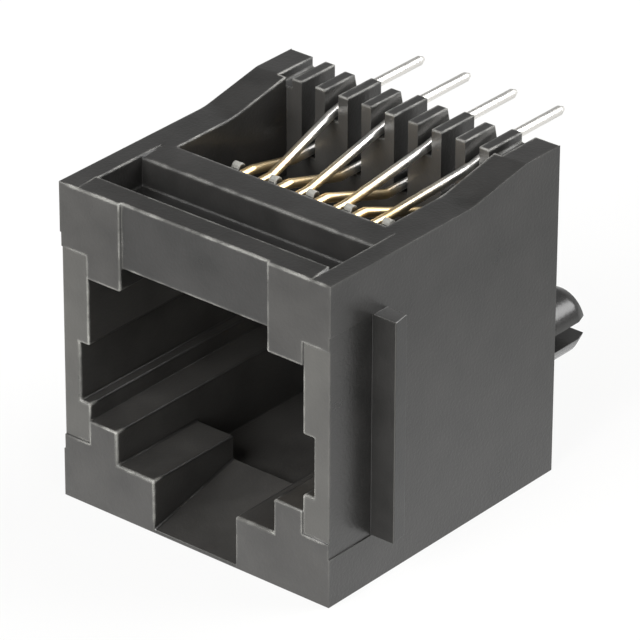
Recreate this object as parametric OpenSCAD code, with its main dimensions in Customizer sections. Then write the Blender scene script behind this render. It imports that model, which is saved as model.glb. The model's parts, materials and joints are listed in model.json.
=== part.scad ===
// Eight-way modular jack for a circuit board: a one-piece moulded housing with a
// latched plug socket, and eight round wire contacts that run from a staggered
// comb at the board face to springs inside the socket.
// The mouth faces -Y, the board face +Y, and the jack lies on its latch side at z = 0.

/* [Housing] */
// Outside width, without the panel stops
body_w = 14.6; // [14:0.1:18]
// Depth from the mouth to the board face
body_d = 15; // [14:0.1:20]
// Overall height, from the latch side to the comb's top
body_h = 15.6; // [15.2:0.05:18]
// Rise from the front part's top to the comb's top
rear_rise = 0.65; // [0.3:0.05:0.9]
// Thickness of the rear wall that holds the comb
rear_wall = 2.3; // [1.8:0.1:3]
// Length of the flat top over the rear wall
rear_flat = 2.35; // [1.5:0.05:3]
// Length of the ramp from the front part's top to the rear part's top
ramp_len = 3.45; // [2:0.05:5]
// Radius that blends the ramp into the front part's top
foot_blend = 4; // [1:0.5:8]
// Radius that blends the ramp into the rear part's top
head_blend = 1; // [0.5:0.5:8]

/* [Plug socket] */
// Width of the main socket
socket_w = 11.68; // [11.5:0.02:12]
// Height of the shelves that the plug's body slides on
shelf_z = 4.1; // [3.8:0.1:4.4]
// Height of the main socket's roof
roof_z = 10.88; // [10.6:0.02:11.2]
// Width of the step in the roof that clears the plug's contact side
key_w = 7.94; // [7.6:0.02:8.4]
// Height of that step's roof
key_z = 11.9; // [11.6:0.05:12.1]
// Width of the channel below the shelves
channel_w = 8.6; // [8:0.1:9.4]
// Width of the slot that takes the plug's latch
latch_w = 4.5; // [4.2:0.1:5]
// Height of the two ledges that the latch catches behind
ledge_z = 2.5; // [2.2:0.1:2.8]
// Length of those ledges from the mouth
ledge_len = 5.15; // [4.5:0.05:6]
// Thickness of the floor under the latch slot at the mouth
lead_in_z = 0.15; // [0.1:0.05:0.6]
// Thickness of that floor at the ledges' rear end
lead_out_z = 1.4; // [1.2:0.1:1.8]
// Thickness of the floor behind the ledges
pocket_z = 0.95; // [0.6:0.05:1.1]
// Depth of the relief along each side wall of the socket
side_relief = 0.54; // [0.3:0.02:0.6]
// Lower edge of the side relief
side_relief_z0 = 4.88; // [4.6:0.02:5.4]
// Upper edge of the side relief
side_relief_z1 = 7.66; // [7.2:0.02:8.4]

/* [Contact side] */
// Thickness of the front lip above the socket
lip_len = 1.17; // [0.8:0.01:1.6]
// Rise of the lip's top from the mouth to the groove
lip_rise = 0.12; // [0:0.01:0.2]
// Length of the groove behind the lip
groove_len = 2.88; // [2:0.02:3.4]
// Width of that groove
groove_w = 12.56; // [11.6:0.02:13]
// Depth of the groove below the top
groove_deep = 1.45; // [0.8:0.05:1.6]
// Length of the bar behind the groove
bar_len = 1.5; // [1.2:0.1:2]
// Drop of the bar's front edge below the side walls, which its rear edge meets
bar_drop = 0.12; // [0:0.02:0.3]
// Width of the window over the contacts
window_w = 11.3; // [10.6:0.1:11.6]

/* [Comb] */
// Width of the relief between each side wall and the outer fin
end_relief_w = 0.72; // [0.4:0.02:0.8]
// Depth of that relief
end_relief_deep = 0.45; // [0.2:0.05:0.8]
// Length of the slant on every second fin's rear top corner
slant_len = 0.22; // [0.1:0.02:1]
// Height of that slant
slant_h = 0.9; // [0.4:0.05:1.5]

/* [Contacts] */
// Wire diameter
wire_d = 0.44; // [0.4:0.01:0.5]
// Spacing of the wires across the comb
board_pitch = 1.27; // [1.2:0.01:1.35]
// Spacing of the wires at the plug
plug_pitch = 1.016; // [1:0.002:1.03]
// Distance between the two rows of tails
row_pitch = 2.54; // [2:0.02:2.8]
// Depth of the upper row's wire centres below the rear top
row_deep = 0.65; // [0.4:0.05:0.9]
// Length of the tails behind the board face
tail_len = 3.9; // [2.5:0.1:5]
// Length of the pointed end of a tail
tail_tip = 0.25; // [0.1:0.05:0.4]
// Depth of the level run under the bar below the top
nose_deep = 1.3; // [1.2:0.05:1.6]
// Length of the lower row's straight lead in front of the comb
comb_lead = 1; // [0.2:0.1:1.5]
// Height of the turn from the level run to the spring
turn_h = 1.3; // [1.2:0.05:1.35]
// Height of the spring's free end
spring_z = 8.8; // [8:0.1:10]
// Gap between the spring's free end and the rear wall
spring_gap = 0.5; // [0.3:0.1:1]
// Radius of the bends, on the wire's centre line
bend_r = 0.5; // [0.4:0.05:0.55]
// Gap on each side of a wire in the comb
comb_gap = 0.155; // [0.1:0.005:0.18]
// Gap around a wire in its nest under the bar
nest_gap = 0.08; // [0.05:0.01:0.12]
// Gap under a wire in the comb
seat_gap = 0.03; // [0.02:0.01:0.1]
// Length of the guide fingers behind the bar
finger_len = 2.3; // [1:0.1:2.6]
// Height of the guide fingers
finger_h = 0.9; // [0.5:0.1:1.2]
// Radius of the bead across the end of each guide finger
bead_r = 0.2; // [0.1:0.05:0.3]

/* [Board pegs] */
// Spacing of the two pegs
peg_pitch = 11.43; // [10.5:0.01:11.5]
// Distance from the lower row of tails to the pegs
peg_row = 6.35; // [5.5:0.05:7]
// Diameter of a peg
peg_d = 3.1; // [2.6:0.05:3.2]
// Length of a peg's round part
peg_len = 1.8; // [1.2:0.1:3]
// Length of a peg's tapered end
peg_taper = 0.6; // [0.3:0.1:1]
// Diameter of a peg's tip
peg_tip_d = 2.7; // [2:0.05:3]
// Width of the slit that lets a peg spring into its hole
peg_slit = 0.8; // [0.4:0.05:1]

/* [Panel stops] */
// Reach of a stop from the side wall
stop_reach = 1.17; // [0.6:0.01:1.6]
// Draft of a stop's outer face over its length
stop_draft = 0.15; // [0:0.01:0.3]
// Length of a stop
stop_len = 0.9; // [0.6:0.05:1.4]
// Distance of a stop from the mouth
stop_y = 2.75; // [1:0.05:5]
// Lower end of a stop
stop_z0 = 2.28; // [0.5:0.02:4]
// Upper end of a stop
stop_z1 = 12.6; // [10:0.05:14]

/* [Face reliefs] */
// Depth of the panel above the socket
panel_deep = 0.13; // [0.05:0.01:0.3]
// Depth of the pads beside the socket
pad_deep = 0.07; // [0.03:0.01:0.2]
// Lower edge of those pads
pad_z0 = 3; // [1:0.1:5]
// Upper edge of those pads
pad_z1 = 11.95; // [10:0.05:13]
// Depth of the relief in front of each panel stop
cheek_deep = 0.06; // [0.03:0.01:0.15]

/* [Hidden] */
$fn = 48;

contact_count = 8;
// How far a cut runs past the face that it opens
past = 1;
arc_steps = 6;
// A smaller change of direction needs no bend
min_turn = 0.1;
// Largest step of a bend, and the sides of a formed wire
bend_step = 15;
wire_sides = 16;
// The formed wire starts inside its straight tail, so it is finer by this much
sweep_inset = 0.002;
// How far the formed wire reaches into its tail, and where the upper row's first bend is
tail_root = 0.35;
tail_bend = 0.4;

front_h = body_h - rear_rise;
rear_wall_y = body_d - rear_wall;
ramp_head_y = body_d - rear_flat;
ramp_foot_y = ramp_head_y - ramp_len;
groove_y = lip_len;
bar_y = groove_y + groove_len;
window_y = bar_y + bar_len;

row_a_z = body_h - row_deep;
row_b_z = row_a_z - row_pitch;
peg_z = row_b_z - peg_row;

nose_z = front_h - nose_deep;
nest_w = wire_d + 2 * nest_gap;
nest_top = nose_z + wire_d / 2 + nest_gap;
turn_y = window_y - bend_r - wire_d / 2 - nest_gap;
nest_y = turn_y - wire_d / 2 - nest_gap;
finger_end_y = window_y + finger_len;
finger_w = plug_pitch - nest_w;
fan_end_y = finger_end_y + nest_gap;
spring_y = rear_wall_y - spring_gap;

comb_slot_w = wire_d + 2 * comb_gap;
fin_w = board_pitch - comb_slot_w;
outer_fin_x = contact_count / 2 * board_pitch;
end_relief_x = outer_fin_x + fin_w / 2;
// The upper row bends down just inside the board face, in line with its fan
row_a_bend_y = body_d - tail_bend;
row_a_comb_z = nose_z
    + (row_a_z - nose_z) * (rear_wall_y - fan_end_y) / (row_a_bend_y - fan_end_y);
seat_drop = wire_d / 2 + seat_gap;

function arc(centre, r, from, to) = [
    for (i = [0 : arc_steps])
        let (a = from + (to - from) * i / arc_steps)
            centre + r * [cos(a), sin(a)]
];

// Contacts 1 to 8 run from -X to +X, and every second one is in the upper row
function contact_x(n, pitch) = (n - (contact_count + 1) / 2) * pitch;
function in_upper_row(n) = n % 2 == 0;

// Outlines drawn in X and Z, extruded along Y
module along_depth(y, len) {
    translate([0, y + len, 0])
        rotate([90, 0, 0])
            linear_extrude(len)
                children();
}

// Outlines drawn in Y and Z, extruded across the width
module across_width(w) {
    translate([-w / 2, 0, 0])
        rotate([90, 0, 90])
            linear_extrude(w)
                children();
}

module both_sides() {
    children();
    mirror([1, 0, 0])
        children();
}

// A box centred on X, from one corner height and depth
module bar(w, y, z, len, h) {
    translate([-w / 2, y, z])
        cube([w, len, h]);
}

// Depths are drawn from the mouth, and the origin is the middle of the resting face
module from_mouth() {
    translate([0, -body_d / 2, 0])
        children();
}

// Side outline with the ramp to the higher rear part
module shell() {
    slope = atan2(rear_rise, ramp_len);
    head = [ramp_head_y + head_blend * tan(slope / 2), body_h - head_blend];
    foot = [ramp_foot_y - foot_blend * tan(slope / 2), front_h + foot_blend];
    across_width(body_w)
        polygon(concat(
            [[0, 0], [body_d, 0], [body_d, body_h]],
            arc(head, head_blend, 90, 90 + slope),
            arc(foot, foot_blend, slope - 90, -90),
            [[0, front_h]]
        ));
}

// Rib that stops the jack behind a panel's cut-out
module panel_stop() {
    translate([0, 0, stop_z0])
        linear_extrude(stop_z1 - stop_z0)
            polygon([
                [body_w / 2 - side_relief, stop_y],
                [body_w / 2 + stop_reach, stop_y],
                [body_w / 2 + stop_reach - stop_draft, stop_y + stop_len],
                [body_w / 2 - side_relief, stop_y + stop_len]
            ]);
}

// Split peg with a tapered end
module board_peg() {
    difference() {
        translate([peg_pitch / 2, body_d, peg_z])
            rotate([-90, 0, 0]) {
                translate([0, 0, -rear_wall / 2])
                    cylinder(d = peg_d, h = rear_wall / 2 + peg_len);
                translate([0, 0, peg_len])
                    cylinder(d1 = peg_d, d2 = peg_tip_d, h = peg_taper);
            }
        translate([peg_pitch / 2 - peg_d, body_d, peg_z - peg_slit / 2])
            cube([2 * peg_d, peg_len + peg_taper + past, peg_slit]);
    }
}

// Beaded fingers between the wires behind the bar, one at every second wall of the nests
module guide_fingers() {
    top_z = nose_z + wire_d / 4;
    for (k = [-contact_count / 2 : 2 : contact_count / 2])
        translate([k * plug_pitch, 0, 0]) {
            bar(finger_w, nest_y, top_z - finger_h, finger_end_y - nest_y, finger_h);
            translate([-finger_w / 2, finger_end_y - bead_r, top_z])
                rotate([0, 90, 0])
                    cylinder(r = bead_r, h = finger_w);
        }
}

// Stepped socket for the plug, with a relief along each side wall
module plug_socket() {
    relief_w = socket_w + 2 * side_relief;
    along_depth(-past, rear_wall_y + past) {
        translate([-key_w / 2, shelf_z])
            square([key_w, key_z - shelf_z]);
        translate([-socket_w / 2, shelf_z])
            square([socket_w, roof_z - shelf_z]);
        translate([-channel_w / 2, ledge_z])
            square([channel_w, roof_z - ledge_z]);
        translate([-relief_w / 2, side_relief_z0])
            square([relief_w, side_relief_z1 - side_relief_z0]);
    }
}

// Slot with a rising floor for the latch, and the pocket behind its two ledges
module latch_way() {
    climb = (lead_out_z - lead_in_z) / ledge_len;
    across_width(latch_w)
        polygon([
            [-past, lead_in_z - past * climb],
            [ledge_len, lead_out_z],
            [ledge_len, shelf_z],
            [-past, shelf_z]
        ]);
    bar(channel_w, ledge_len, pocket_z, rear_wall_y - ledge_len, shelf_z - pocket_z);
}

// Lip over the mouth, its top rising to the groove
module lip_crown() {
    across_width(groove_w)
        polygon([
            [0, front_h - lip_len],
            [0, front_h],
            [lip_len, front_h + lip_rise],
            [lip_len, front_h - lip_len]
        ]);
}

// Groove behind the lip, the sloping top of the bar, and the window over the contacts
module contact_side() {
    bar(groove_w, groove_y, front_h - groove_deep, groove_len, groove_deep + past);
    across_width(groove_w)
        polygon([[bar_y, front_h - bar_drop], [window_y, front_h], [window_y, body_h], [bar_y, body_h]]);
    bar(window_w, window_y, roof_z - past, rear_wall_y - window_y, body_h - roof_z + 2 * past);
}

// Nests under the bar, open to the socket, where the wires turn back as springs
module wire_nests() {
    for (n = [1 : contact_count])
        translate([contact_x(n, plug_pitch), 0, 0])
            bar(nest_w, nest_y, roof_z, window_y + past - nest_y, nest_top - roof_z);
}

// Open slots that hold the wires in two heights at the board face
module comb_slots() {
    for (n = [1 : contact_count])
        let (floor_z = (in_upper_row(n) ? row_a_comb_z : row_b_z) - seat_drop)
            translate([contact_x(n, board_pitch), 0, 0])
                bar(comb_slot_w, rear_wall_y - past, floor_z,
                    rear_wall + 2 * past, body_h - floor_z + past);
    both_sides()
        translate([end_relief_x, ramp_head_y, body_h - end_relief_deep])
            cube([end_relief_w, rear_flat + past, end_relief_deep + past]);
}

// Slanted rear corner on every second fin, from the second one
module fin_slants() {
    for (k = [1 - contact_count / 2 : 2 : contact_count / 2 - 1])
        translate([k * board_pitch, 0, 0])
            across_width(fin_w)
                polygon([
                    [body_d - slant_len, body_h],
                    [body_d, body_h - slant_h],
                    [body_d + past, body_h - slant_h],
                    [body_d + past, body_h + past],
                    [body_d - slant_len, body_h + past]
                ]);
}

// Shallow steps in the mouth's face and in the cheeks in front of the stops
module face_reliefs() {
    bar(key_w, -past, key_z, past + panel_deep, front_h + lip_rise - key_z);
    both_sides() {
        translate([socket_w / 2, -past, pad_z0])
            cube([body_w, past + pad_deep, pad_z1 - pad_z0]);
        translate([body_w / 2 - cheek_deep, -past, stop_z0])
            cube([body_w, past + stop_y, stop_z1 - stop_z0]);
    }
}

// Moulded housing, one piece with its stops and pegs
module housing() {
    color("#2b2b2d")
        from_mouth() {
            difference() {
                union() {
                    shell();
                    lip_crown();
                }
                plug_socket();
                latch_way();
                contact_side();
                wire_nests();
                comb_slots();
                fin_slants();
                face_reliefs();
            }
            guide_fingers();
            both_sides() {
                panel_stop();
                board_peg();
            }
        }
}

function unit(v) = v / norm(v);
function heading(path, i) = unit(path[i + 1] - path[i]);
function turn(path, i) = acos(min(1, heading(path, i - 1) * heading(path, i)));

// Stations along a wire, each a point on its centre line with its direction.
// A corner of the path becomes an arc of the bend radius.
function bend_stations(path, i) =
    let (
        dir_in = heading(path, i - 1),
        dir_out = heading(path, i),
        angle = turn(path, i),
        inward = unit(dir_out - dir_in * (dir_in * dir_out)),
        centre = path[i] - dir_in * bend_r * tan(angle / 2) + inward * bend_r,
        steps = ceil(angle / bend_step)
    )
    [
        for (k = [0 : steps])
            let (a = angle * k / steps)
                [
                    centre + bend_r * (sin(a) * dir_in - cos(a) * inward),
                    cos(a) * dir_in + sin(a) * inward
                ]
    ];

function wire_stations(path) =
    let (last = len(path) - 1)
    concat(
        [[path[0], heading(path, 0)]],
        [
            for (i = [1 : last - 1])
                if (turn(path, i) > min_turn)
                    each bend_stations(path, i)
        ],
        [[path[last], heading(path, last - 1)]]
    );

function ring(station, r) =
    let (
        dir = station[1],
        side = unit([1, 0, 0] - dir * dir.x),
        up = cross(dir, side)
    )
    [
        for (k = [0 : wire_sides - 1])
            let (a = 360 * k / wire_sides)
                station[0] + r * (cos(a) * side + sin(a) * up)
    ];

// Round wire swept along a path
module wire(path, r) {
    stations = wire_stations(path);
    last = len(stations) - 1;
    polyhedron(
        points = [for (station = stations) each ring(station, r)],
        faces = concat(
            [[for (k = [0 : wire_sides - 1]) k]],
            [
                for (s = [0 : last - 1], k = [0 : wire_sides - 1])
                    let (
                        a = s * wire_sides,
                        b = a + wire_sides,
                        next = (k + 1) % wire_sides
                    )
                        [a + k, b + k, b + next, a + next]
            ],
            [[for (k = [wire_sides - 1 : -1 : 0]) last * wire_sides + k]]
        )
    );
}

// Straight round tail behind the board face, with a pointed end
module tail(x, z) {
    translate([x, body_d, z])
        rotate([-90, 0, 0]) {
            cylinder(d = wire_d, h = tail_len - tail_tip);
            translate([0, 0, tail_len - tail_tip])
                cylinder(d1 = wire_d, d2 = wire_d / 2, h = tail_tip);
        }
}

// Formed wire: tail, comb, fan to the plug's pitch, turn under the bar, spring
module contact(n) {
    board_x = contact_x(n, board_pitch);
    plug_x = contact_x(n, plug_pitch);
    row_z = in_upper_row(n) ? row_a_z : row_b_z;
    comb_y = in_upper_row(n) ? rear_wall_y : rear_wall_y - comb_lead;
    comb_z = in_upper_row(n) ? row_a_comb_z : row_b_z;
    path = concat(
        [[board_x, body_d + tail_root, row_z]],
        in_upper_row(n) ? [[board_x, row_a_bend_y, row_z]] : [],
        [
            [board_x, comb_y, comb_z],
            [plug_x, fan_end_y, nose_z],
            [plug_x, turn_y, nose_z],
            [plug_x, turn_y, nose_z - turn_h],
            [plug_x, spring_y, spring_z]
        ]
    );
    color("#d8b25c")
        from_mouth() {
            tail(board_x, row_z);
            wire(path, wire_d / 2 - sweep_inset);
        }
}

housing();
contact(1);  // contact_1
contact(2);  // contact_2
contact(3);  // contact_3
contact(4);  // contact_4
contact(5);  // contact_5
contact(6);  // contact_6
contact(7);  // contact_7
contact(8);  // contact_8
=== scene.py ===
import json
import math

import bmesh
import bpy
from mathutils import Matrix, Vector

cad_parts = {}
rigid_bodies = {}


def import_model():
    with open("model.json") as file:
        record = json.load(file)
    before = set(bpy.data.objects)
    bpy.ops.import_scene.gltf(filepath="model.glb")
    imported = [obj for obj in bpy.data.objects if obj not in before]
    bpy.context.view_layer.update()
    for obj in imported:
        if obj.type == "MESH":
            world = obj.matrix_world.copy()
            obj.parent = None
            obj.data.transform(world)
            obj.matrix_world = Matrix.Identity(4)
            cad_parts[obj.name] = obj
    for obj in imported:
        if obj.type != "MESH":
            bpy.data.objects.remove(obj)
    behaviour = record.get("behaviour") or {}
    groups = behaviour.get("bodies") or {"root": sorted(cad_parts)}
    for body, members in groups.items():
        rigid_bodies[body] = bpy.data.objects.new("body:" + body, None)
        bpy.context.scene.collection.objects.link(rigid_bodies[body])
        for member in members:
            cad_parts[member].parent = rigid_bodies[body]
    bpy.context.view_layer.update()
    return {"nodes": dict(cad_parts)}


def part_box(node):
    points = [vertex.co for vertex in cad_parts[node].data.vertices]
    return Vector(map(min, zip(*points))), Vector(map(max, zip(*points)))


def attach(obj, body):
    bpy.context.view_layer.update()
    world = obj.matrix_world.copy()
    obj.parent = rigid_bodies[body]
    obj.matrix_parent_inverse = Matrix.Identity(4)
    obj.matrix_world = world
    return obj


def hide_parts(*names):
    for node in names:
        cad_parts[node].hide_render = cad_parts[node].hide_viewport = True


for leftover in list(bpy.data.objects):
    bpy.data.objects.remove(leftover)

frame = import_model()
scene = bpy.context.scene
MM = 0.001

# HOUSING
# One injection moulding of black PBT: socket, lip, groove, bar, comb, panel stops and
# board pegs together. Spark-eroded tool faces leave a fine satin grain, and every corner
# leaves the tool with a small radius that catches the light.

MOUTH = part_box("housing")[0].y
TOP = 14.95 * MM
SIDE = 7.3 * MM
BODY_LENGTH = 15.0 * MM
SOCKET_ROOF = TOP - 3.0 * MM
RIM = 0.2 * MM

EDGE_ROUND = 0.11 * MM
EDGE_STEPS = 3
CRISP_SHARE = 0.45
ROOM_SHARE = 0.4
SHARP_EDGE = math.radians(28)
NEARLY_STRAIGHT = math.radians(150)
FLAT_EDGE = math.radians(0.5)
WELD = 0.0001 * MM


def welded_copy(node):
    """The node's own mesh with its split corners joined again."""
    source = frame["nodes"][node].data
    bare = bpy.data.meshes.new(node + "_bare")
    bare.from_pydata([v.co for v in source.vertices], [], [p.vertices for p in source.polygons])
    bm = bmesh.new()
    bm.from_mesh(bare)
    bmesh.ops.remove_doubles(bm, verts=bm.verts, dist=WELD)
    return bm


def corner_room(loop):
    """The largest radius that still fits where two edges of a face meet."""
    opening = loop.calc_angle() if loop.is_convex else math.pi
    if opening > NEARLY_STRAIGHT:
        return EDGE_ROUND
    shorter = min(loop.edge.calc_length(), loop.link_loop_prev.edge.calc_length())
    return ROOM_SHARE * shorter * min(1.0, math.tan(opening / 2))


def gap_to(point, edge):
    """Distance of a point from an edge."""
    start, end = (v.co for v in edge.verts)
    along = end - start
    share = (point - start).dot(along) / along.length_squared
    return (point - start - along * min(1.0, max(0.0, share))).length


def strip_room(loop):
    """The largest radius that still fits between an edge and the far edges of its face."""
    mine = loop.edge
    far = [other for other in loop.face.edges if not set(other.verts) & set(mine.verts)]
    gaps = [gap_to(v.co, mine) for other in far for v in other.verts if v not in mine.verts]
    gaps += [gap_to(v.co, other) for other in far for v in mine.verts]
    return ROOM_SHARE * min(gaps, default=EDGE_ROUND / ROOM_SHARE)


def edge_radius(edge):
    """Radius of one edge of the moulding: small steps take a smaller one, curves none."""
    if edge.calc_face_angle() < SHARP_EDGE:
        return 0.0
    rooms = [strip_room(loop) for loop in edge.link_loops]
    rooms += [corner_room(corner) for loop in edge.link_loops for corner in (loop, loop.link_loop_next)]
    return min(EDGE_ROUND, *rooms)


def crisp(edge):
    """True for the corners at the sides and deep in the socket, which the tool leaves sharper."""
    outer = all(abs(v.co.x) > SIDE - WELD for v in edge.verts)
    deep = all(v.co.y > MOUTH + RIM and v.co.z < SOCKET_ROOF for v in edge.verts)
    return outer or deep


def runs_on(edge, other, corner):
    """True where one edge goes on as another across a corner, nearly straight."""
    ahead = other.other_vert(corner).co - corner.co
    behind = edge.other_vert(corner).co - corner.co
    return ahead.angle(behind) > NEARLY_STRAIGHT


def new_piece(name, bm):
    """A scene object made from a finished bmesh."""
    mesh = bpy.data.meshes.new(name)
    bm.to_mesh(mesh)
    bm.free()
    piece = bpy.data.objects.new(name, mesh)
    scene.collection.objects.link(piece)
    return piece


moulding_bm = welded_copy("housing")
bmesh.ops.dissolve_limit(moulding_bm, angle_limit=FLAT_EDGE, verts=moulding_bm.verts,
                         edges=moulding_bm.edges)
weight = moulding_bm.edges.layers.float.new("bevel_weight_edge")
for edge in moulding_bm.edges:
    edge[weight] = edge_radius(edge) / EDGE_ROUND * (CRISP_SHARE if crisp(edge) else 1.0)

# A corner line keeps one radius along its whole length, the least that any stretch of it has.
settled = False
while not settled:
    settled = True
    for corner in moulding_bm.verts:
        rounded_here = [edge for edge in corner.link_edges if edge[weight] > 0]
        for edge in rounded_here:
            least = min(other[weight] for other in rounded_here
                        if other is edge or runs_on(edge, other, corner))
            if least < edge[weight]:
                edge[weight] = least
                settled = False

FLAT, ROUNDED = range(2)
sharp_moulding = new_piece("sharp_moulding", moulding_bm)
for slot in (FLAT, ROUNDED):
    sharp_moulding.data.materials.append(None)
rounding = sharp_moulding.modifiers.new("edge_radius", "BEVEL")
rounding.limit_method = "WEIGHT"
rounding.width = EDGE_ROUND
rounding.segments = EDGE_STEPS
rounding.use_clamp_overlap = False
rounding.material = ROUNDED
bpy.context.view_layer.update()
rounded = sharp_moulding.evaluated_get(bpy.context.evaluated_depsgraph_get())
moulding_bm = bmesh.new()
moulding_bm.from_mesh(rounded.to_mesh())
bpy.data.objects.remove(sharp_moulding)

# The finishes of the one plastic, in the order of their materials below.
MOULDED, RUBBED_EDGE_AND_HIGHLIGHT, HANDLED_AND_PAINTED_LIGHT, SCUFFED_PAD_AND_SHEEN, STOP_FACE_PAINTED_SHADE, BEAD_PAINTED_HIGHLIGHT, PEG = range(7)
PAD_DEEP = 0.07 * MM
SOCKET_HALF, SOCKET_DEEP, SOCKET_TOP = 6.4 * MM, 12.7 * MM, 12.2 * MM
BEAD_DEPTH, BEAD_Z = 7.65 * MM, 13.81 * MM
BEAD_REACH = 0.22 * MM
BEADS_HALF = 5.0 * MM
FACING = 0.9


def stands_out(face):
    """True for a rounded edge on the outside of the moulding, where handling rubs it and a highlight is
    painted.
    """
    middle = face.calc_center_median()
    bend = sum((other.calc_center_median() - middle).normalized().dot(other.normal - face.normal)
               for edge in face.edges for other in edge.link_faces if other is not face)
    at_rim = middle.y < MOUTH + RIM or middle.z > TOP - RIM or abs(middle.x) > SIDE - RIM
    return bend > 0 and at_rim


def finish_of(face):
    """The finish of a face, from its place and the way it looks."""
    middle = face.calc_center_median()
    depth, aside = middle.y - MOUTH, abs(middle.x)
    to_front = face.normal.y < -FACING
    at_bead = abs(depth - BEAD_DEPTH) < BEAD_REACH and abs(middle.z - BEAD_Z) < BEAD_REACH
    in_socket = aside < SOCKET_HALF and RIM < depth < SOCKET_DEEP and RIM < middle.z < SOCKET_TOP
    # the stops' outer faces are darkened: painted shade
    if aside > SIDE + RIM and abs(face.normal.x) > FACING:
        return STOP_FACE_PAINTED_SHADE
    if depth > BODY_LENGTH + WELD:
        return PEG
    # the beads are painted pale grey: a painted highlight
    if at_bead and aside < BEADS_HALF:
        return BEAD_PAINTED_HIGHLIGHT
    # outer rounded edges take the paler finish: wear and a painted highlight
    if face.material_index == ROUNDED:
        return RUBBED_EDGE_AND_HIGHLIGHT if stands_out(face) else MOULDED
    # the socket's inner faces take a paler finish: partly handling, partly painted light falling in through
    # the mouth
    if in_socket or (to_front and depth < PAD_DEEP / 2):
        return HANDLED_AND_PAINTED_LIGHT
    # the pads take a paler finish: partly scuffing, partly a painted sheen
    if to_front and depth < 1.5 * PAD_DEEP:
        return SCUFFED_PAD_AND_SHEEN
    return MOULDED


FLAT_WEIGHT = 80

for face in moulding_bm.faces:
    face.smooth = True
    face.material_index = finish_of(face)
moulding = new_piece("housing_moulding", moulding_bm)
flats = moulding.modifiers.new("flat_faces", "WEIGHTED_NORMAL")
flats.mode = "FACE_AREA"
flats.weight = FLAT_WEIGHT


def linear(hex_colour):
    """An sRGB hex colour as linear RGBA."""
    shares = [int(hex_colour[i : i + 2], 16) / 255 for i in (1, 3, 5)]
    return [c / 12.92 if c <= 0.04045 else ((c + 0.055) / 1.055) ** 2.4 for c in shares] + [1.0]


def add_node(tree, kind, settings=None, **inputs):
    """Adds one node. settings are its properties; an input is a value, or a socket to link."""
    node = tree.nodes.new(kind)
    for name, value in (settings or {}).items():
        setattr(node, name, value)
    for name, value in inputs.items():
        key = int(name[1:]) if name[0] == "_" else name.replace("_", " ")
        if isinstance(value, bpy.types.NodeSocket):
            tree.links.new(value, node.inputs[key])
        else:
            node.inputs[key].default_value = value
    return node


def new_material(name):
    """A material with an empty node tree."""
    material = bpy.data.materials.new(name)
    material.use_nodes = True
    material.node_tree.nodes.clear()
    return material


# Moulded PBT, spark-eroded finish: near black, satin, with slow drifts of tone and gloss where
# the melt flowed. Its grain is about 0.05 mm wide, and drawn coarser so that it can be seen.
# Its corners at the mouth and on top are painted paler in patches, partly as rubbing by plugs and fingers
# and partly as a painted highlight on the rounded edge; the sides and the foot hardly get it.
PBT_IOR = 1.55
PBT_RUBBED_AND_HIGHLIGHT = "#b9b8b2"
GRAIN = 0.14 * MM
GRAIN_DEPTH = 0.011 * MM
FLOW = 2.6 * MM
CORNER = 0.18 * MM
RUB_AND_HIGHLIGHT_PATCH = 0.9 * MM
RUB_AND_HIGHLIGHT_SIDE = SIDE - 0.5 * MM, SIDE - 0.2 * MM
RUB_AND_HIGHLIGHT_MOUTH = MOUTH + 0.2 * MM, MOUTH + 0.6 * MM
RUB_AND_HIGHLIGHT_FOOT = 0.3 * MM, 0.8 * MM
RUB_AND_HIGHLIGHT_TOP = SOCKET_ROOF, SOCKET_ROOF + 1.0 * MM
RUB_AND_HIGHLIGHT_AT_SIDE = 0.08
RUB_AND_HIGHLIGHT_ON_TOP = 0.8


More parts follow.
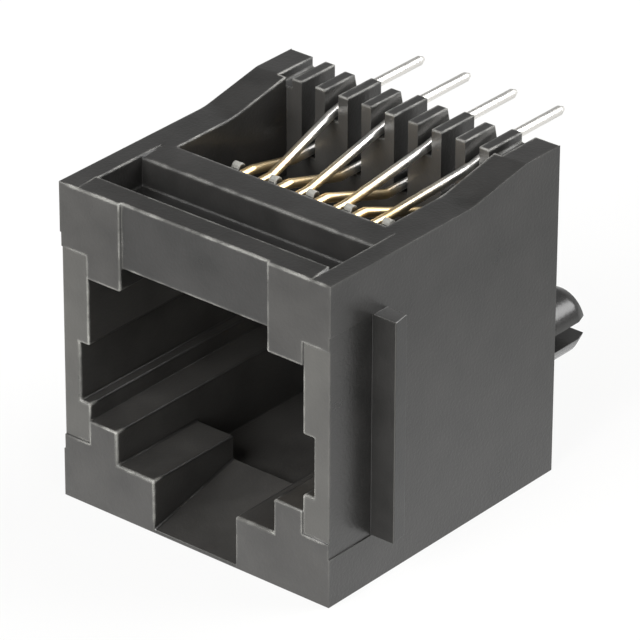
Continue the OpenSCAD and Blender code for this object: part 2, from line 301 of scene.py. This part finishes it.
def pbt(name, dark, pale, gloss_low, gloss_high, grain_depth):
    """One finish of the plastic: its darkest and palest tone, least and most roughness, and grain."""
    material = new_material(name)
    tree = material.node_tree
    place = add_node(tree, "ShaderNodeTexCoord")
    spot = add_node(tree, "ShaderNodeSeparateXYZ", Vector=place.outputs["Object"])

    # tone and gloss drift together with the flow
    flow = add_node(tree, "ShaderNodeTexNoise", Vector=place.outputs["Object"], Scale=1 / FLOW,
                    Detail=3.0, Roughness=0.6)
    drift = add_node(tree, "ShaderNodeMapRange", Value=flow.outputs["Fac"], From_Min=0.15, From_Max=0.85)
    tone = add_node(tree, "ShaderNodeMix", {"data_type": "RGBA"}, Factor=drift.outputs["Result"],
                    _6=linear(dark), _7=linear(pale))
    gloss = add_node(tree, "ShaderNodeMapRange", Value=drift.outputs["Result"], To_Min=gloss_low,
                     To_Max=gloss_high)

    # a corner that stands in the open, where a rounded normal leans away from the flat one
    corner = add_node(tree, "ShaderNodeBevel", {"samples": 4}, Radius=CORNER)
    facing = add_node(tree, "ShaderNodeNewGeometry")
    lean = add_node(tree, "ShaderNodeVectorMath", {"operation": "DOT_PRODUCT"},
                    _0=corner.outputs["Normal"], _1=facing.outputs["True Normal"])
    at_edge = add_node(tree, "ShaderNodeMapRange", Value=lean.outputs["Value"], From_Min=0.995,
                       From_Max=0.88)
    open_air = add_node(tree, "ShaderNodeAmbientOcclusion", {"samples": 4, "only_local": True},
                        Distance=2 * CORNER)
    standing = add_node(tree, "ShaderNodeMapRange", Value=open_air.outputs["AO"], From_Min=0.8,
                        From_Max=0.97)
    exposed = add_node(tree, "ShaderNodeMath", {"operation": "MULTIPLY"}, _0=at_edge.outputs["Result"],
                       _1=standing.outputs["Result"])

    # where the corners are painted paler, partly rubbing by plugs and fingers and partly painted highlight:
    # the mouth above the foot, and corners that look up at the top
    aside = add_node(tree, "ShaderNodeMath", {"operation": "ABSOLUTE"}, _0=spot.outputs["X"])
    inner = add_node(tree, "ShaderNodeMapRange", Value=aside.outputs["Value"], From_Min=RUB_AND_HIGHLIGHT_SIDE[0],
                     From_Max=RUB_AND_HIGHLIGHT_SIDE[1], To_Min=1.0, To_Max=RUB_AND_HIGHLIGHT_AT_SIDE)
    near = add_node(tree, "ShaderNodeMapRange", Value=spot.outputs["Y"], From_Min=RUB_AND_HIGHLIGHT_MOUTH[0],
                    From_Max=RUB_AND_HIGHLIGHT_MOUTH[1], To_Min=1.0, To_Max=0.0)
    off_table = add_node(tree, "ShaderNodeMapRange", Value=spot.outputs["Z"], From_Min=RUB_AND_HIGHLIGHT_FOOT[0],
                         From_Max=RUB_AND_HIGHLIGHT_FOOT[1])
    front = add_node(tree, "ShaderNodeMath", {"operation": "MULTIPLY"}, _0=near.outputs["Result"],
                     _1=off_table.outputs["Result"])
    above = add_node(tree, "ShaderNodeMapRange", Value=spot.outputs["Z"], From_Min=RUB_AND_HIGHLIGHT_TOP[0],
                     From_Max=RUB_AND_HIGHLIGHT_TOP[1], To_Min=0.0, To_Max=RUB_AND_HIGHLIGHT_ON_TOP)
    tilt = add_node(tree, "ShaderNodeSeparateXYZ", Vector=corner.outputs["Normal"])
    upward = add_node(tree, "ShaderNodeMapRange", Value=tilt.outputs["Z"], From_Min=0.1, From_Max=0.4)
    on_top = add_node(tree, "ShaderNodeMath", {"operation": "MULTIPLY"}, _0=above.outputs["Result"],
                      _1=upward.outputs["Result"])
    mouth_and_top_reach = add_node(tree, "ShaderNodeMath", {"operation": "MAXIMUM"}, _0=front.outputs["Value"],
                       _1=on_top.outputs["Value"])
    reach = add_node(tree, "ShaderNodeMath", {"operation": "MULTIPLY"}, _0=inner.outputs["Result"],
                     _1=mouth_and_top_reach.outputs["Value"])

    # rubbed and painted pale in patches
    rub_and_highlight_patches = add_node(tree, "ShaderNodeTexNoise", Vector=place.outputs["Object"], Scale=1 / RUB_AND_HIGHLIGHT_PATCH,
                   Detail=2.0)
    uneven = add_node(tree, "ShaderNodeMapRange", Value=rub_and_highlight_patches.outputs["Fac"], From_Min=0.38, From_Max=0.62,
                      To_Min=0.2, To_Max=1.0)
    rubbed_and_highlit = add_node(tree, "ShaderNodeMath", {"operation": "MULTIPLY"}, _0=uneven.outputs["Result"],
                      _1=reach.outputs["Value"])
    worn_and_highlit = add_node(tree, "ShaderNodeMath", {"operation": "MULTIPLY"}, _0=exposed.outputs["Value"],
                    _1=rubbed_and_highlit.outputs["Value"])
    # the paler corner colour: partly wear, partly a painted highlight on the rounded edges
    colour = add_node(tree, "ShaderNodeMix", {"data_type": "RGBA"}, Factor=worn_and_highlit.outputs["Value"],
                      _6=tone.outputs["Result"], _7=linear(PBT_RUBBED_AND_HIGHLIGHT))

    # grain, on a normal that is rounder where the corner is rubbed
    grain = add_node(tree, "ShaderNodeTexNoise", Vector=place.outputs["Object"], Scale=1 / GRAIN,
                     Detail=2.0, Roughness=0.6)
    eased = add_node(tree, "ShaderNodeMix", {"data_type": "VECTOR"}, _0=reach.outputs["Value"],
                     _4=facing.outputs["Normal"], _5=corner.outputs["Normal"])
    turned = add_node(tree, "ShaderNodeVectorMath", {"operation": "NORMALIZE"}, _0=eased.outputs["Result"])
    relief = add_node(tree, "ShaderNodeBump", Strength=1.0, Distance=grain_depth,
                      Height=grain.outputs["Fac"], Normal=turned.outputs["Vector"])
    surface = add_node(tree, "ShaderNodeBsdfPrincipled", Base_Color=colour.outputs["Result"],
                       Roughness=gloss.outputs["Result"], IOR=PBT_IOR, Normal=relief.outputs["Normal"])
    add_node(tree, "ShaderNodeOutputMaterial", Surface=surface.outputs["BSDF"])
    return material


PBT_FINISHES = (
    # as it left the tool: near black and satin
    ("black_pbt_moulded", "#1b1b1a", "#31302f", 0.25, 0.37, GRAIN_DEPTH),
    # rounded corners, paler: partly rubbed by hands, partly a painted highlight, with hardly any grain
    ("black_pbt_rubbed_edge_and_highlight", "#373735", "#454441", 0.24, 0.32, 0.1 * GRAIN_DEPTH),
    # mouth and socket, greyed by plugs and fingers, and paler inside the socket as painted light
    ("black_pbt_handled_front_and_painted_light", "#272625", "#3e3d3b", 0.27, 0.39, GRAIN_DEPTH),
    # pads beside the mouth, duller still, and paler: partly scuffing, partly a painted sheen
    ("black_pbt_plug_scuffed_and_sheen", "#3b3a38", "#4b4a47", 0.3, 0.42, GRAIN_DEPTH),
    # outer faces of the panel stops, rubbed matt by the panel, and darkened as painted shade against the
    # brighter reflection of their draft
    ("black_pbt_panel_stop_painted_shade", "#1c1c1b", "#232322", 0.44, 0.54, GRAIN_DEPTH),
    # beads on the guide fingers, painted pale grey as a highlight
    ("black_pbt_bead_painted_highlight", "#8d8c86", "#a8a7a1", 0.24, 0.32, 0.1 * GRAIN_DEPTH),
    # pegs, drawn smooth as they leave the tool: glossier, so that a light is a narrow band
    ("black_pbt_peg_drawn_smooth", "#1a1a19", "#2a2928", 0.18, 0.24, 0.3 * GRAIN_DEPTH),
)

for finish in PBT_FINISHES:
    moulding.data.materials.append(pbt(*finish))
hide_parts("housing")
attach(moulding, "root")

# CONTACTS
# Eight lengths of drawn phosphor bronze wire, formed on a press and pushed into the comb.
# The springs are plated with gold over nickel, and the tails are dipped in tin for soldering. The tin's
# white is carried on into the window as a painted highlight, far along the upper row and only at the comb
# on the lower row.

WIRE_COUNT = 8
WIRE_CORNER = math.radians(40)
GOLD = "#fdeccb"
GOLD_WORN = "#f3cf8c"
TIN_AND_HIGHLIGHT_WHITE = "#f3f1ec"
# where the white begins and is full along the jack: tin on the tails, and painted highlight where the upper
# row runs lit through the window and where the lower row leaves the comb
UPPER_TIN_AND_HIGHLIGHT = 0.8 * MM, 4.2 * MM
LOWER_TIN_AND_HIGHLIGHT = 4.2 * MM, 5.2 * MM
DRAW_MARK = 0.04 * MM
DRAW_LENGTH = 1.5 * MM
DRAW_DEPTH = 0.003 * MM
PLATING_PATCH = 0.8 * MM


# Gold and tin plating over drawn wire: the die's lines run along the wire and spread a light
# across its whole width. They are a few microns wide, and drawn coarser so that they can be
# The gold is paler and yellower in patches, and fades into white: tin on the tails, and a painted highlight
# further in.
def plated_wire(name, tin_and_highlight_start, tin_and_highlight_end):
    """The wire's plating, with the places along the jack where the white begins and is all white: tin,
    carried on as a painted highlight.
    """
    material = new_material(name)
    tree = material.node_tree
    place = add_node(tree, "ShaderNodeTexCoord")
    along_wire = add_node(tree, "ShaderNodeMapping", Vector=place.outputs["Object"],
                          Scale=(1.0, DRAW_MARK / DRAW_LENGTH, 1.0))
    lines = add_node(tree, "ShaderNodeTexNoise", Vector=along_wire.outputs["Vector"], Scale=1 / DRAW_MARK,
                     Detail=1.0)
    patches = add_node(tree, "ShaderNodeTexNoise", Vector=place.outputs["Object"], Scale=1 / PLATING_PATCH,
                       Detail=3.0)
    plating = add_node(tree, "ShaderNodeMix", {"data_type": "RGBA"}, Factor=patches.outputs["Fac"],
                       _6=linear(GOLD), _7=linear(GOLD_WORN))
    spot = add_node(tree, "ShaderNodeSeparateXYZ", Vector=place.outputs["Object"])
    # white: tin on the tails, painted highlight further in
    tin_and_highlight_share = add_node(tree, "ShaderNodeMapRange", Value=spot.outputs["Y"], From_Min=tin_and_highlight_start,
                      From_Max=tin_and_highlight_end)
    colour = add_node(tree, "ShaderNodeMix", {"data_type": "RGBA"}, Factor=tin_and_highlight_share.outputs["Result"],
                      _6=plating.outputs["Result"], _7=linear(TIN_AND_HIGHLIGHT_WHITE))
    sheen = add_node(tree, "ShaderNodeMapRange", Value=patches.outputs["Fac"], From_Min=0.3, From_Max=0.7,
                     To_Min=0.28, To_Max=0.38)
    marks = add_node(tree, "ShaderNodeBump", Strength=1.0, Distance=DRAW_DEPTH, Height=lines.outputs["Fac"])
    surface = add_node(tree, "ShaderNodeBsdfPrincipled", Base_Color=colour.outputs["Result"], Metallic=1.0,
                       Roughness=sheen.outputs["Result"], Normal=marks.outputs["Normal"])
    add_node(tree, "ShaderNodeOutputMaterial", Surface=surface.outputs["BSDF"])
    return material


upper_row = plated_wire("plated_wire_upper_row_painted_highlight", *UPPER_TIN_AND_HIGHLIGHT)
lower_row = plated_wire("plated_wire_lower_row_painted_highlight", *LOWER_TIN_AND_HIGHLIGHT)

for number in range(1, WIRE_COUNT + 1):
    name = f"contact_{number}"
    wire_bm = welded_copy(name)
    for face in wire_bm.faces:
        face.smooth = True
    for edge in wire_bm.edges:
        edge.smooth = edge.calc_face_angle(0.0) < WIRE_CORNER
    wire = new_piece(name + "_wire", wire_bm)
    wire.data.materials.append(lower_row if number % 2 else upper_row)
    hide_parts(name)
    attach(wire, "root")

# STAGE
# A white table top in a dim studio, darkest overhead. A soft box in front is the key, with a
# low one beside it, a small one on each side, and a large one behind on the right that the
# wires and the peg mirror.

FLOOR_SIDE = 3.0
TABLE = "#dededb"
WHITE = "#ffffff"
WHITE_SHARE = 0.85
POOL = 8 * MM, 33 * MM
POOL_MIDDLE, POOL_EDGE = 1.25, 0.72
ROOM_HORIZON, ROOM_OVERHEAD = 0.5, 0.03
BOX_DISTANCE = 0.5

floor_bm = bmesh.new()
bmesh.ops.create_grid(floor_bm, x_segments=1, y_segments=1, size=FLOOR_SIDE / 2)
floor = new_piece("floor", floor_bm)

# Painted table top: matt white, with the jack's soft shadow. The camera sees it as the white of the
# background, and so do reflections, brighter in a painted pool of light round the jack that the table gives
# off itself.
table_top = new_material("white_table_top")
table_tree = table_top.node_tree
rays = add_node(table_tree, "ShaderNodeLightPath")
seen = add_node(table_tree, "ShaderNodeMath", {"operation": "MAXIMUM"}, _0=rays.outputs["Is Camera Ray"],
                _1=rays.outputs["Is Glossy Ray"])
seen_all = add_node(table_tree, "ShaderNodeMath", {"operation": "MAXIMUM"}, _0=seen.outputs[0],
                    _1=rays.outputs["Is Transmission Ray"])
share = add_node(table_tree, "ShaderNodeMath", {"operation": "MULTIPLY"}, _0=seen_all.outputs[0],
                 _1=WHITE_SHARE)
paint = add_node(table_tree, "ShaderNodeBsdfDiffuse", Color=linear(TABLE))
table_place = add_node(table_tree, "ShaderNodeTexCoord")
from_jack = add_node(table_tree, "ShaderNodeVectorMath", {"operation": "LENGTH"},
                     _0=table_place.outputs["Object"])
pool = add_node(table_tree, "ShaderNodeMapRange", {"interpolation_type": "SMOOTHSTEP"},
                Value=from_jack.outputs["Value"], From_Min=POOL[0], From_Max=POOL[1],
                To_Min=POOL_MIDDLE, To_Max=POOL_EDGE)
shown = add_node(table_tree, "ShaderNodeMix", _0=rays.outputs["Is Camera Ray"], _2=pool.outputs["Result"],
                 _3=1.0)
white = add_node(table_tree, "ShaderNodeEmission", Color=linear(WHITE), Strength=shown.outputs[0])
mixed = add_node(table_tree, "ShaderNodeMixShader", _0=share.outputs[0], _1=paint.outputs[0],
                 _2=white.outputs[0])
add_node(table_tree, "ShaderNodeOutputMaterial", Surface=mixed.outputs[0])
floor.data.materials.append(table_top)

# The room: grey at the horizon, falling to nearly black overhead, and white to the camera.
world = bpy.data.worlds.new("studio")
world.use_nodes = True
scene.world = world
sky_tree = world.node_tree
sky_tree.nodes.clear()
heading = add_node(sky_tree, "ShaderNodeTexCoord")
split = add_node(sky_tree, "ShaderNodeSeparateXYZ", Vector=heading.outputs["Generated"])
dusk = add_node(sky_tree, "ShaderNodeMapRange", Value=split.outputs["Z"], To_Min=ROOM_HORIZON,
                To_Max=ROOM_OVERHEAD)
sky_rays = add_node(sky_tree, "ShaderNodeLightPath")
surround = add_node(sky_tree, "ShaderNodeBackground", Color=linear(WHITE), Strength=dusk.outputs["Result"])
backdrop = add_node(sky_tree, "ShaderNodeBackground", Color=linear(WHITE), Strength=1.0)
sky = add_node(sky_tree, "ShaderNodeMixShader", _0=sky_rays.outputs["Is Camera Ray"],
               _1=surround.outputs[0], _2=backdrop.outputs[0])
add_node(sky_tree, "ShaderNodeOutputWorld", Surface=sky.outputs[0])


def soft_box(name, azimuth, elevation, width, height, radiance):
    """A soft box that looks at the jack, from its direction in degrees and its size in metres."""
    lamp = bpy.data.lights.new(name, "AREA")
    lamp.shape = "RECTANGLE"
    lamp.size, lamp.size_y = width, height
    lamp.energy = radiance * math.pi * width * height
    box = bpy.data.objects.new(name, lamp)
    turn, lift = math.radians(azimuth), math.radians(elevation)
    out = Vector((math.sin(turn) * math.cos(lift), -math.cos(turn) * math.cos(lift), math.sin(lift)))
    box.location = out * BOX_DISTANCE
    box.rotation_mode = "QUATERNION"
    box.rotation_quaternion = out.to_track_quat("Z", "Y")
    scene.collection.objects.link(box)


soft_box("soft_box_key", azimuth=-4, elevation=36, width=0.25, height=0.25, radiance=10.5)
soft_box("soft_box_low", azimuth=10, elevation=18, width=0.25, height=0.25, radiance=8.0)
soft_box("soft_box_left", azimuth=-48, elevation=44, width=0.2, height=0.2, radiance=3.5)
soft_box("soft_box_right", azimuth=62, elevation=42, width=0.2, height=0.2, radiance=2.5)
soft_box("soft_box_behind", azimuth=148, elevation=40, width=0.38, height=0.48, radiance=5.4)

# CAMERA
# A long lens from the front right, a little above, as the jack was photographed. Its place is
# measured from the foot of the mouth: away from it, then to the right and up across the view.

VIEW_AZIMUTH, VIEW_ELEVATION, VIEW_ROLL = (math.radians(d) for d in (39.621, 28.148, 0.239))
VIEW_DISTANCE, VIEW_RIGHT, VIEW_UP = 228.0 * MM, 5.246 * MM, 9.658 * MM
SENSOR_MM, LENS_MM = 36.0, 306.2
NEAR_LIMIT = 10 * MM

mouth_foot = Vector((0, MOUTH, 0))
back = Vector((math.sin(VIEW_AZIMUTH) * math.cos(VIEW_ELEVATION),
               -math.cos(VIEW_AZIMUTH) * math.cos(VIEW_ELEVATION), math.sin(VIEW_ELEVATION)))
level = Vector((math.cos(VIEW_AZIMUTH), math.sin(VIEW_AZIMUTH), 0))
upright = back.cross(level)
right = level * math.cos(VIEW_ROLL) + upright * math.sin(VIEW_ROLL)
up = upright * math.cos(VIEW_ROLL) - level * math.sin(VIEW_ROLL)
camera = bpy.data.objects.new("camera", bpy.data.cameras.new("camera"))
camera.data.sensor_width = SENSOR_MM
camera.data.lens = LENS_MM
camera.data.clip_start = NEAR_LIMIT
camera.matrix_world = Matrix.Translation(
    mouth_foot + back * VIEW_DISTANCE + right * VIEW_RIGHT + up * VIEW_UP
) @ Matrix((right, up, back)).transposed().to_4x4()
scene.collection.objects.link(camera)
scene.camera = camera

scene.view_settings.view_transform = "Standard"

bpy.context.view_layer.update()
